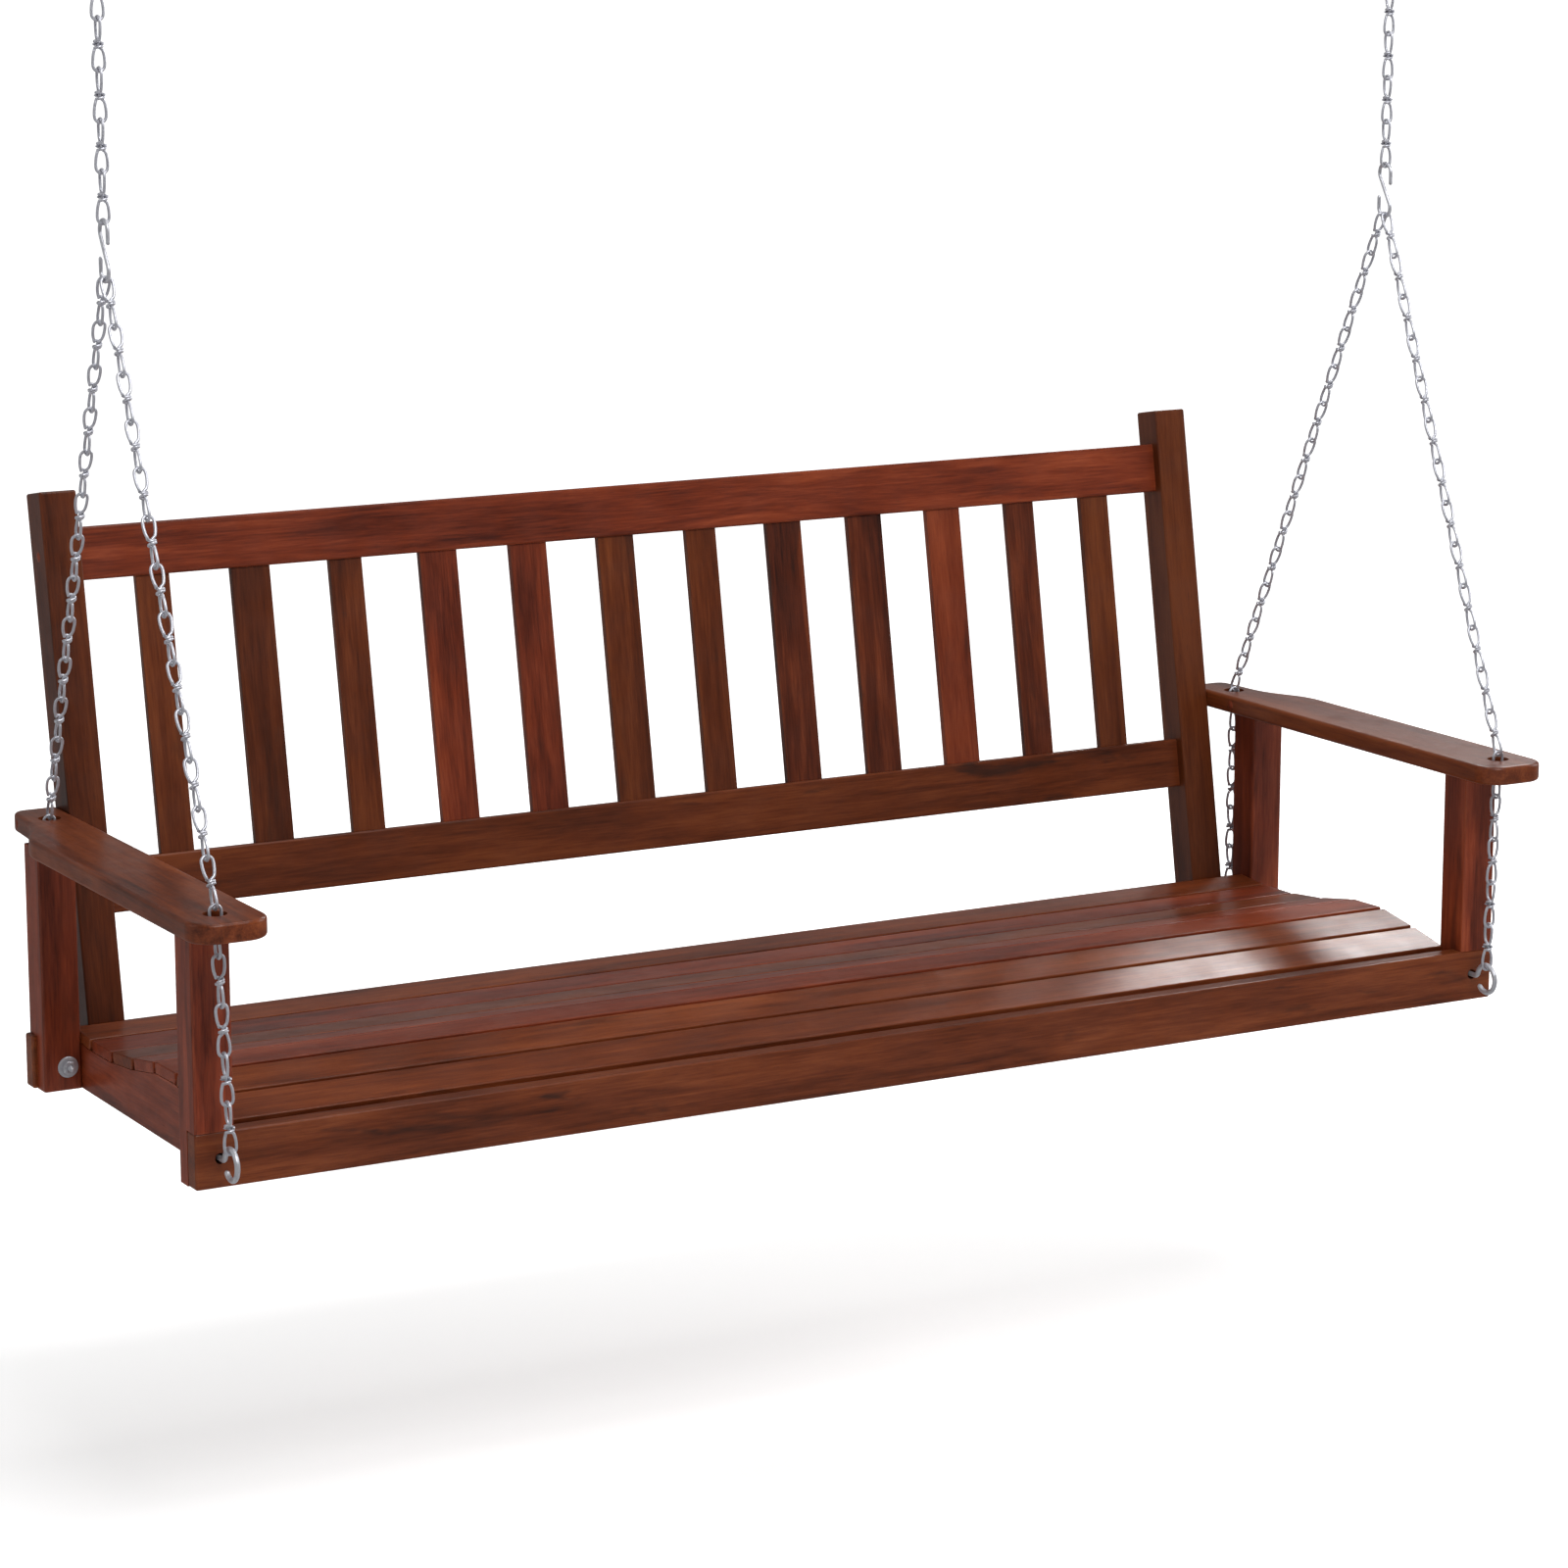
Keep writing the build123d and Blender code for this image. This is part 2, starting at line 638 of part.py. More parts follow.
# ---------------------------------------------------------------- S-hooks
cross_angle = degrees(asin(2 * s_hook_arc_r / s_hook_centres))
for side, sign in (("left", -1), ("right", 1)):
    middle = Plane(origin=(sign * hang_x, 0, pivot_z), x_dir=(0, 1, 0), z_dir=(1, 0, 0))
    arc_size = 180 + cross_angle
    with BuildPart() as s_hook:
        with BuildLine(middle) as s_route:
            Line((-s_hook_arc_r, s_hook_centres - s_hook_tail), (-s_hook_arc_r, s_hook_centres))
            upper_arc = CenterArc((0, s_hook_centres), s_hook_arc_r, 180, -arc_size)
            lower_arc = CenterArc((0, 0), s_hook_arc_r, 180 - cross_angle, arc_size)
            Line(upper_arc @ 1, lower_arc @ 0)
            Line((s_hook_arc_r, 0), (s_hook_arc_r, s_hook_tail))
        tip = middle.from_local_coords((-s_hook_arc_r, s_hook_centres - s_hook_tail, 0))
        with BuildSketch(Plane(origin=tip, x_dir=(0, 1, 0), z_dir=(0, 0, 1))) as s_wire:
            Circle(s_hook_wire_r)
        sweep(s_wire.sketch, path=s_route.wires()[0])
    save(s_hook, f"{side}_s_hook")

# ---------------------------------------------------------------- hook bolts, washers and nuts
ring_bend = degrees(acos(bolt_bend_r / (bolt_bend_r + bolt_ring_r)))
bend_start = (bolt_bend_r + bolt_ring_r) * sin(radians(ring_bend))
join_angle = 90 - ring_bend
bolt_places = [
    (sign * bolt[0], bolt[1], outward, face, ring_y)
    for sign in (-1, 1)
    for bolt, outward, face, ring_y in (
        (bolt_front, -1, post_width, -bolt_ring_reach),
        (bolt_rear, 1, rear_post_face, frame_depth + bolt_ring_reach),
    )
]

with BuildPart() as hook_bolts:
    for x, z, outward, face, ring_y in bolt_places:
        plane = Plane(origin=seat_point(x, ring_y, z), x_dir=(0, -outward, 0), z_dir=(-outward, 0, 0))
        shank_end = abs(face - ring_y) + washer_thickness + nut_height + bolt_past_nut
        with BuildLine(plane) as bolt_route:
            Line((shank_end, 0), (bend_start, 0))
            CenterArc((bend_start, bolt_bend_r), bolt_bend_r, -90, -ring_bend)
            CenterArc((0, 0), bolt_ring_r, join_angle, 360 - join_angle - bolt_tip_angle)
        bolt_tip = plane.from_local_coords((shank_end, 0, 0))
        with BuildSketch(Plane(origin=bolt_tip, x_dir=(1, 0, 0), z_dir=(0, outward, 0))) as bolt_wire:
            Circle(bolt_wire_r)
        sweep(bolt_wire.sketch, path=bolt_route.wires()[0])
save(hook_bolts, "hook_bolts")

with BuildPart() as hook_bolt_washers:
    for x, z, outward, face, ring_y in bolt_places:
        with BuildSketch(facing(face)) as washer:
            with Locations((x, z)):
                Circle(washer_r)
                Circle(bolt_wire_r + fit_gap, mode=Mode.SUBTRACT)
        extrude(washer.sketch, amount=outward * washer_thickness)
save(hook_bolt_washers, "hook_bolt_washers")

with BuildPart() as hook_bolt_nuts:
    for x, z, outward, face, ring_y in bolt_places:
        with BuildSketch(facing(face - outward * washer_thickness)) as nut:
            with Locations((x, z)):
                RegularPolygon(nut_flats / 2, 6, major_radius=False)
                Circle(bolt_wire_r + fit_gap, mode=Mode.SUBTRACT)
        extrude(nut.sketch, amount=outward * nut_height)
save(hook_bolt_nuts, "hook_bolt_nuts")

# ---------------------------------------------------------------- ceiling hooks
for side, sign in (("left", -1), ("right", 1)):
    wall = Plane(origin=(sign * hang_x, 0, 0), x_dir=(sign, 0, 0), z_dir=(0, -sign, 0))
    bowl_z = bearing_z + ceiling_arc_r
    join = 90 - bend_angle
    with BuildPart() as ceiling_hook:
        with BuildLine(wall) as hook_route:
            Line((0, ceiling_thread), (0, -ceiling_gap))
            CenterArc((ceiling_bend_r, -ceiling_gap), ceiling_bend_r, 180, bend_angle)
            CenterArc((ceiling_bearing / 2, bowl_z), ceiling_arc_r, bend_angle, -90 - bend_angle)
            Line((ceiling_bearing / 2, bearing_z), (-ceiling_bearing / 2, bearing_z))
            CenterArc((-ceiling_bearing / 2, bowl_z), ceiling_arc_r, 270, -ceiling_tip_angle)
        with BuildSketch(Plane.XY.offset(ceiling_thread)) as hook_wire:
            with Locations((sign * hang_x, 0)):
                Circle(ceiling_wire_r)
        sweep(hook_wire.sketch, path=hook_route.wires()[0])
        chamfer(ceiling_hook.edges().group_by(Axis.Z)[-1], ceiling_tip_chamfer)
    save(ceiling_hook, f"{side}_ceiling_hook")
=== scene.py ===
"""Porch swing: looks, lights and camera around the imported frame. Metres, in the frame's own axes."""
import json
import math
import random

import bpy
from mathutils import Euler, Matrix, Vector


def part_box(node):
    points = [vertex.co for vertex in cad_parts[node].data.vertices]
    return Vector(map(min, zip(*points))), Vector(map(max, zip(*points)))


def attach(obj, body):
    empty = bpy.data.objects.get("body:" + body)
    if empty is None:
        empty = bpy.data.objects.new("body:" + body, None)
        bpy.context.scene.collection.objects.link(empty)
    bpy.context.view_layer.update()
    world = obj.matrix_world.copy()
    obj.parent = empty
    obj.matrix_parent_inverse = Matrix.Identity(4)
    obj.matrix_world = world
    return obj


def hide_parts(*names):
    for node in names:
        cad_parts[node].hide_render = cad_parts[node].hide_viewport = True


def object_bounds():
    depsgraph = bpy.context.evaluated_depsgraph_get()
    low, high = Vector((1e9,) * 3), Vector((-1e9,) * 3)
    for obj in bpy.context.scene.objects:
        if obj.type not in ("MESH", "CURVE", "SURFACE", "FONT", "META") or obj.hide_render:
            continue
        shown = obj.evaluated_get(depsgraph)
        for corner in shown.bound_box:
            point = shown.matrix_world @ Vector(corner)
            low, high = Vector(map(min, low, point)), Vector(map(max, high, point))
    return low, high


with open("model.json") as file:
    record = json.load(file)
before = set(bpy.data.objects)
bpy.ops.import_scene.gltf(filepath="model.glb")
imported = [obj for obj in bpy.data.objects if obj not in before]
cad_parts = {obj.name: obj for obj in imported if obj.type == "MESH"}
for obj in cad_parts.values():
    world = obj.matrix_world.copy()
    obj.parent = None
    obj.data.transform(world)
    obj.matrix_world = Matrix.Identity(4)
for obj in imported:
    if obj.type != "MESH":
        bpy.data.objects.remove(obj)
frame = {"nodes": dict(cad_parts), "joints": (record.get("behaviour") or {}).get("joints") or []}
cad_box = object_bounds()
MM = 0.001

# ---------------------------------------------------------------- places read from the frame
rail_low, rail_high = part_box("front_rail")
DATUM = Vector((0, rail_low[1], rail_high[2]))
JOINTS = {joint["name"]: joint for joint in frame["joints"]}
HANG_X = abs(JOINTS["left_hang"]["pos_m"][0])
PIVOT_Z = JOINTS["seat_pitch"]["pos_m"][2]
BEARING_Z = JOINTS["left_hang"]["pos_m"][2]
FRAME_DEPTH = 440.0  # front rail face to rear rail face, in millimetres


def seat_point(x, y, z):
    """A point given over the seat datum, in millimetres, in the frame's metres."""
    return Vector((x * MM, DATUM.y + y * MM, DATUM.z + z * MM))


# ---------------------------------------------------------------- camera
scene = bpy.context.scene
YAW = math.radians(29.281)
PITCH = math.radians(11.674)
camera_data = bpy.data.cameras.new("camera")
camera_data.lens = 107.98
camera_data.sensor_width = 36.0
camera = bpy.data.objects.new("camera", camera_data)
scene.collection.objects.link(camera)
camera.location = seat_point(-2358.8, -3981.6, 1215.9)
camera.rotation_euler = Euler((math.radians(90) - PITCH, 0, -YAW), "XYZ")
scene.camera = camera
scene.view_settings.view_transform = "Standard"


# ---------------------------------------------------------------- node helpers
class Shader:
    """A material's node tree, with short calls for the nodes used here."""

    def __init__(self, name):
        self.material = bpy.data.materials.new(name)
        self.material.use_nodes = True
        self.tree = self.material.node_tree
        self.tree.nodes.clear()
        self.out = self.node("ShaderNodeOutputMaterial")
        self.bsdf = self.node("ShaderNodeBsdfPrincipled")
        self.link(self.bsdf.outputs["BSDF"], self.out.inputs["Surface"])

    def node(self, kind, **settings):
        node = self.tree.nodes.new(kind)
        for key, value in settings.items():
            setattr(node, key, value)
        return node

    def link(self, output, socket):
        self.tree.links.new(output, socket)

    def fill(self, socket, value):
        if hasattr(value, "links"):
            self.link(value, socket)
        else:
            socket.default_value = value

    def place(self, vector, scale=(1, 1, 1), turn=(0, 0, 0), shift=(0, 0, 0)):
        node = self.node("ShaderNodeMapping")
        self.link(vector, node.inputs["Vector"])
        node.inputs["Scale"].default_value = scale
        node.inputs["Rotation"].default_value = turn
        node.inputs["Location"].default_value = shift
        return node.outputs["Vector"]

    def noise(self, vector, scale=1.0, detail=2.0, roughness=0.5, distortion=0.0):
        node = self.node("ShaderNodeTexNoise")
        self.link(vector, node.inputs["Vector"])
        node.inputs["Scale"].default_value = scale
        node.inputs["Detail"].default_value = detail
        node.inputs["Roughness"].default_value = roughness
        node.inputs["Distortion"].default_value = distortion
        return node.outputs["Fac"]

    def math(self, operation, a, b=0.0, clamp=False):
        node = self.node("ShaderNodeMath", operation=operation, use_clamp=clamp)
        self.fill(node.inputs[0], a)
        self.fill(node.inputs[1], b)
        return node.outputs[0]

    def ramp(self, value, low, high, out_low=0.0, out_high=1.0):
        node = self.node("ShaderNodeMapRange", interpolation_type="SMOOTHSTEP")
        self.link(value, node.inputs["Value"])
        node.inputs["From Min"].default_value = low
        node.inputs["From Max"].default_value = high
        node.inputs["To Min"].default_value = out_low
        node.inputs["To Max"].default_value = out_high
        return node.outputs["Result"]

    def colours(self, value, stops):
        node = self.node("ShaderNodeValToRGB")
        ramp = node.color_ramp
        ramp.elements[0].position = stops[0][0]
        ramp.elements[0].color = (*stops[0][1], 1)
        ramp.elements[1].position = stops[-1][0]
        ramp.elements[1].color = (*stops[-1][1], 1)
        for position, colour in stops[1:-1]:
            ramp.elements.new(position).color = (*colour, 1)
        self.link(value, node.inputs["Fac"])
        return node.outputs["Color"]

    def mix(self, factor, a, b, blend="MIX"):
        node = self.node("ShaderNodeMix", data_type="RGBA", blend_type=blend)
        self.fill(node.inputs["Factor"], factor)
        for socket, value in ((node.inputs[6], a), (node.inputs[7], b)):
            self.fill(socket, value if hasattr(value, "links") else (*value, 1))
        return node.outputs[2]

    def bump(self, height, strength, distance, normal=None):
        node = self.node("ShaderNodeBump")
        node.inputs["Strength"].default_value = strength
        node.inputs["Distance"].default_value = distance
        self.link(height, node.inputs["Height"])
        if normal is not None:
            self.link(normal, node.inputs["Normal"])
        return node.outputs["Normal"]


# ---------------------------------------------------------------- wood
TONES = {
    "red": ((0.046, 0.0070, 0.0030), (0.146, 0.0235, 0.0075), (0.260, 0.051, 0.0170)),
    "brown": ((0.040, 0.0080, 0.0026), (0.122, 0.0250, 0.0062), (0.212, 0.051, 0.0130)),
    "dark": ((0.020, 0.0045, 0.0024), (0.080, 0.0150, 0.0050), (0.170, 0.036, 0.0110)),
}
SMUDGE = (0.022, 0.009, 0.006)
PORE = (0.020, 0.008, 0.005)
# painted highlight: a lighter colour laid along the rounded edges in place of their reflections, and how
# far in from the edge it reaches
EDGE_HIGHLIGHT = (0.210, 0.058, 0.024)
EDGE_HIGHLIGHT_RADIUS = 0.0032
STOPS_AT = (0.35, 0.50, 0.66)

# noise in a board's axes: (along, across, across) per metre, detail, roughness, distortion
FIELDS = {
    "patches": ((2.2, 14, 14), 3, 0.5, 0.4),
    "warp": ((1.6, 9, 9), 2, 0.5, 0.0),
    "streaks": ((5.5, 85, 85), 5, 0.62, 0.9),
    "fibres": ((26, 480, 480), 3, 0.65, 0.0),
    "pores": ((70, 1500, 1500), 2, 0.5, 0.0),
    "blotches": ((5.5, 26, 26), 4, 0.62, 0.5),
    "waves": ((5, 40, 40), 2, 0.5, 0.0),
}


def wood(name, grain, seed, tone, figure=1.0, smudges=0.5, tone_and_painted_light=1.0):
    """Stained hardwood under a satin coat. grain is the turn that lays the board's length along X."""
    draw = random.Random(seed)
    shader = Shader(name)
    coordinates = shader.node("ShaderNodeTexCoord").outputs["Object"]
    shift = tuple(draw.uniform(-9, 9) for _ in range(3))
    board = shader.place(coordinates, turn=grain, shift=shift)

    field = {
        kind: shader.noise(shader.place(board, stretch), 1, *settings)
        for kind, (stretch, *settings) in FIELDS.items()
    }

    bands = shader.math("MULTIPLY", field["warp"], 7.0)
    bands = shader.math("ADD", bands, shader.math("MULTIPLY", field["patches"], 2.0))
    rings = shader.math("SINE", shader.math("MULTIPLY", bands, 6.0))
    rings = shader.math("MULTIPLY", rings, 0.5)
    value = shader.math("MULTIPLY", field["patches"], 0.40)
    value = shader.math("ADD", value, shader.math("MULTIPLY", field["streaks"], 0.34))
    value = shader.math("ADD", value, shader.math("MULTIPLY", field["fibres"], 0.26))
    value = shader.math("ADD", value, shader.math("MULTIPLY", rings, 0.045 * figure))

    # one factor scales this board's colours: partly its own tone, partly painted light and shade that
    # evens out how brightly the lamps light it
    tones = [tuple(channel * tone_and_painted_light for channel in stop) for stop in TONES[tone]]
    lift = draw.uniform(-0.02, 0.02)
    colour = shader.colours(value, [(at + lift, stop) for at, stop in zip(STOPS_AT, tones)])

    smudged = shader.ramp(field["blotches"], 0.60, 0.74, 0.0, smudges)
    colour = shader.mix(smudged, colour, SMUDGE)
    dashes = shader.ramp(field["pores"], 0.62, 0.72, 0.0, 0.38)
    colour = shader.mix(dashes, colour, PORE)
    # painted highlight along the rounded edges: found where the bevelled normal turns away from the true
    # one, broken up by the streaks
    highlight_bevel = shader.node("ShaderNodeBevel", samples=4)
    highlight_bevel.inputs["Radius"].default_value = EDGE_HIGHLIGHT_RADIUS
    geometry = shader.node("ShaderNodeNewGeometry")
    same = shader.node("ShaderNodeVectorMath", operation="DOT_PRODUCT")
    shader.link(highlight_bevel.outputs["Normal"], same.inputs[0])
    shader.link(geometry.outputs["Normal"], same.inputs[1])
    edge_highlight = shader.ramp(same.outputs["Value"], 0.995, 0.93, 0.0, 0.28)
    edge_highlight = shader.math("MULTIPLY", edge_highlight, shader.ramp(field["streaks"], 0.35, 0.6, 0.35, 1.0))
    colour = shader.mix(edge_highlight, colour, tuple(channel * tone_and_painted_light for channel in EDGE_HIGHLIGHT))
    shader.link(colour, shader.bsdf.inputs["Base Color"])

    gloss = shader.ramp(shader.noise(board, 26, 3, 0.6), 0.3, 0.7, 0.30, 0.40)
    gloss = shader.math("ADD", gloss, shader.math("MULTIPLY", dashes, 0.2))
    shader.link(gloss, shader.bsdf.inputs["Roughness"])
    shader.bsdf.inputs["Specular IOR Level"].default_value = 0.2
    shader.bsdf.inputs["Coat Weight"].default_value = 0.18
    shader.bsdf.inputs["Coat Roughness"].default_value = 0.20
    shader.bsdf.inputs["Coat IOR"].default_value = 1.45
    normal = shader.bump(field["waves"], 0.035, 0.003)
    normal = shader.bump(field["fibres"], 0.10, 0.0004, normal)
    normal = shader.bump(field["pores"], 0.14, 0.0004, normal)
    shader.link(normal, shader.bsdf.inputs["Normal"])
    return shader.material


LEAN = math.radians(10)
ALONG_X = (0, 0, 0)
ALONG_Y = (0, 0, math.radians(-90))
ALONG_Z = (0, math.radians(90), 0)
UP_BACK = (LEAN, math.radians(90), 0)

# each board's grain, tone, figure, smudges and colour scale; the scale is partly the board's own tone and
# partly painted light and shade, making each board lighter or darker to even out how brightly the lamps
# light it
BOARDS = {
    "front_rail": (ALONG_X, "brown", 1.0, 0.85, 0.84),
    "rear_rail": (ALONG_X, "brown", 1.0, 0.5, 0.9),
    "top_rail": (ALONG_X, "red", 1.5, 0.35, 0.93),
    "lower_back_rail": (ALONG_X, "brown", 0.8, 0.8, 0.80),
    "left_side_rail": (ALONG_Y, "red", 1.0, 0.4, 1.0),
    "right_side_rail": (ALONG_Y, "red", 1.0, 0.4, 1.0),
    "centre_bearer": (ALONG_Y, "brown", 1.0, 0.4, 1.0),
    "left_armrest": (ALONG_Y, "brown", 1.6, 0.45, 0.95),
    "right_armrest": (ALONG_Y, "brown", 1.4, 0.45, 0.85),
    "left_front_post": (ALONG_Z, "red", 1.2, 0.45, 1.2),
    "right_front_post": (ALONG_Z, "red", 1.4, 0.45, 1.05),
    "left_rear_post": (ALONG_Z, "red", 1.2, 0.55, 1.1),
    "right_rear_post": (ALONG_Z, "red", 1.2, 0.6, 1.0),
    "left_upright": (UP_BACK, "brown", 0.4, 0.15, 0.62),
    "right_upright": (UP_BACK, "brown", 0.4, 0.15, 0.52),
}
SEAT_TONES = ["brown", "brown", "red", "red", "brown", "red", "brown"]
for number, tone in enumerate(SEAT_TONES, start=1):
    BOARDS[f"seat_slat_{number}"] = (ALONG_X, tone, 1.0, 0.45, 1.05)
BACK_TONES = [
    "brown", "brown", "brown", "red", "red", "brown",
    "brown", "dark", "dark", "red", "dark", "brown",
]
# colour scale per back slat: partly each slat's own tone, partly painted light and shade
BACK_TONES_AND_PAINTED_LIGHT = [0.72, 0.62, 0.72, 0.98, 0.88, 0.68, 0.70, 0.95, 0.90, 0.80, 0.90, 0.60]
for number, (tone, tone_and_painted_light) in enumerate(zip(BACK_TONES, BACK_TONES_AND_PAINTED_LIGHT), start=1):
    BOARDS[f"back_slat_{number:02d}"] = (UP_BACK, tone, 1.3, 0.5, tone_and_painted_light)

for seed, (node, (grain, tone, figure, smudges, tone_and_painted_light)) in enumerate(BOARDS.items(), start=11):
    material = wood(f"wood_{node}", grain, seed, tone, figure, smudges, tone_and_painted_light)
    for slot in frame["nodes"][node].material_slots:
        slot.material = material

end_grain = wood("wood_plugs", ALONG_Z, 3, "red", 0.5, 0.2)
for node in ("upright_plugs", "arm_plugs", "arm_dowels"):
    for slot in frame["nodes"][node].material_slots:
        slot.material = end_grain


# ---------------------------------------------------------------- metal
def zinc(name, base, rough, seed):
    """Bright zinc plate: a soft, slightly mottled metal with fine scratches."""
    shader = Shader(name)
    coordinates = shader.node("ShaderNodeTexCoord").outputs["Object"]
    spot = shader.place(coordinates, shift=(seed, -seed, seed * 0.5))
    mottle = shader.noise(spot, 240, 3, 0.6)
    grime = shader.noise(spot, 60, 3, 0.55)
    tint = shader.colours(mottle, [(0.30, tuple(c * 0.86 for c in base)), (0.70, base)])
    tint = shader.mix(shader.ramp(grime, 0.55, 0.80, 0.0, 0.35), tint, (0.30, 0.30, 0.32))
    shader.link(tint, shader.bsdf.inputs["Base Color"])
    shader.bsdf.inputs["Metallic"].default_value = 0.7
    shader.link(shader.ramp(mottle, 0.3, 0.7, rough, rough + 0.14), shader.bsdf.inputs["Roughness"])
    shader.link(shader.bump(shader.noise(spot, 900, 2), 0.05, 0.0002), shader.bsdf.inputs["Normal"])
    return shader.material


chain_zinc = zinc("zinc_chain", (0.58, 0.585, 0.64), 0.34, 1.7)
hook_zinc = zinc("zinc_hooks", (0.60, 0.605, 0.65), 0.32, 4.3)
screw_zinc = zinc("zinc_screws", (0.48, 0.48, 0.49), 0.36, 7.9)
for node in ("upright_screws", "arm_screws", "side_rail_screws", "upright_foot_screws"):
    for slot in frame["nodes"][node].material_slots:
        slot.material = screw_zinc


# ---------------------------------------------------------------- wire meshes
class Mesh:
    """Vertices and faces gathered for one piece."""

    def __init__(self):
        self.points = []
        self.faces = []

    def add(self, points, faces, matrix=None):
        start = len(self.points)
        self.points += [matrix @ point for point in points] if matrix else points
        self.faces += [tuple(start + i for i in face) for face in faces]

    def piece(self, name, material):
        mesh = bpy.data.meshes.new(name)
        mesh.from_pydata([tuple(point) for point in self.points], [], self.faces)
        mesh.polygons.foreach_set("use_smooth", [True] * len(mesh.polygons))
        mesh.materials.append(material)
        mesh.update()
        piece = bpy.data.objects.new(name, mesh)
        scene.collection.objects.link(piece)
        return piece


def smooth_path(points, spacing):
    """Points along a centripetal Catmull-Rom curve through the given ones, about a spacing apart."""
    ends = [points[0] * 2 - points[1]] + list(points) + [points[-1] * 2 - points[-2]]
    path = []
    for a, b, c, d in zip(ends, ends[1:], ends[2:], ends[3:]):
        t1 = max((b - a).length, 1e-9) ** 0.5
        t2 = t1 + max((c - b).length, 1e-9) ** 0.5
        t3 = t2 + max((d - c).length, 1e-9) ** 0.5
        steps = max(1, round((c - b).length / spacing))
        for i in range(steps):
            t = t1 + (t2 - t1) * i / steps
            ab = a.lerp(b, t / t1)
            bc = b.lerp(c, (t - t1) / (t2 - t1))
            cd = c.lerp(d, (t - t2) / (t3 - t2))
            abc = ab.lerp(bc, t / t2)
            bcd = bc.lerp(cd, (t - t1) / (t3 - t1))
            path.append(abc.lerp(bcd, (t - t1) / (t2 - t1)))
    return path + [points[-1]]


def arc(centre, radius, start, size, u, v, count):
    """Points on an arc in the plane of u and v, angles in degrees."""
    angles = [math.radians(start + size * i / count) for i in range(count + 1)]
    return [centre + u * (radius * math.cos(a)) + v * (radius * math.sin(a)) for a in angles]


def tube(path, radius, sides):
    """(points, faces) of a closed round wire along a path. radius is a number, or a function of
    the distance along the wire and the angle round it."""
    distances = [0.0]
    for a, b in zip(path, path[1:]):
        distances.append(distances[-1] + (b - a).length)
    before = path[:1] + path[:-1]
    after = path[1:] + path[-1:]
    tangents = [(b - a).normalized() for a, b in zip(before, after)]
    side = tangents[0].orthogonal().normalized()
    points = []
    for i, centre in enumerate(path):
        side = (side - tangents[i] * side.dot(tangents[i])).normalized()
        other = tangents[i].cross(side)
        for j in range(sides):
            angle = 2 * math.pi * j / sides
            size = radius(distances[i], angle) if callable(radius) else radius
            points.append(centre + (side * math.cos(angle) + other * math.sin(angle)) * size)
    faces = []
    for i in range(len(path) - 1):
        for j in range(sides):
            k = (j + 1) % sides
            faces.append((i * sides + j, i * sides + k, (i + 1) * sides + k, (i + 1) * sides + j))
    faces.append(tuple(reversed(range(sides))))
    faces.append(tuple((len(path) - 1) * sides + j for j in range(sides)))
    return points, faces


def rounded_end(length, radius):
    """A radius function for a wire of a length whose two ends are rounded over."""
    def size(distance, angle):
        near = min(distance, length - distance)
        return radius * math.sqrt(max(0.12, 1 - max(0.0, 1 - near / radius) ** 2))
    return size


def path_length(path):
    return sum((b - a).length for a, b in zip(path, path[1:]))


X, Y, Z = Vector((1, 0, 0)), Vector((0, 1, 0)), Vector((0, 0, 1))

# ---------------------------------------------------------------- the chains
# millimetres; WIRE_R sets how the links hang in each other, DRAWN_WIRE_R is what is seen
WIRE_R = 1.7
DRAWN_WIRE_R = 1.5
LOOP_R = 5.9
LINK_HEIGHT = 51.1
LINK_PITCH = 47.4
WRAP_R = 3.5
WRAP_LOW = 0.5
WRAP_HIGH = 3.6
NECK_HALF = 1.5
# points beside a link's knot: (out from its axis, away from its middle)
LOOP_SIDE = (5.4, 10.5)
WRAPPED_SHOULDER = (4.0, 5.2)
CROSSED_SHOULDER = (3.7, 5.4)
CROSSED_THROAT = (1.1, 3.4)
TAIL_RUN = 4.6
TAIL_HALF = 2.4
END_RUN = 4.4
TAIL_LIFT = 0.3
LEG_LINKS = 13
DROP_LINKS = 5
UPPER_LINKS = 5
TWISTED_LINK = 15
PLAY = 0.15


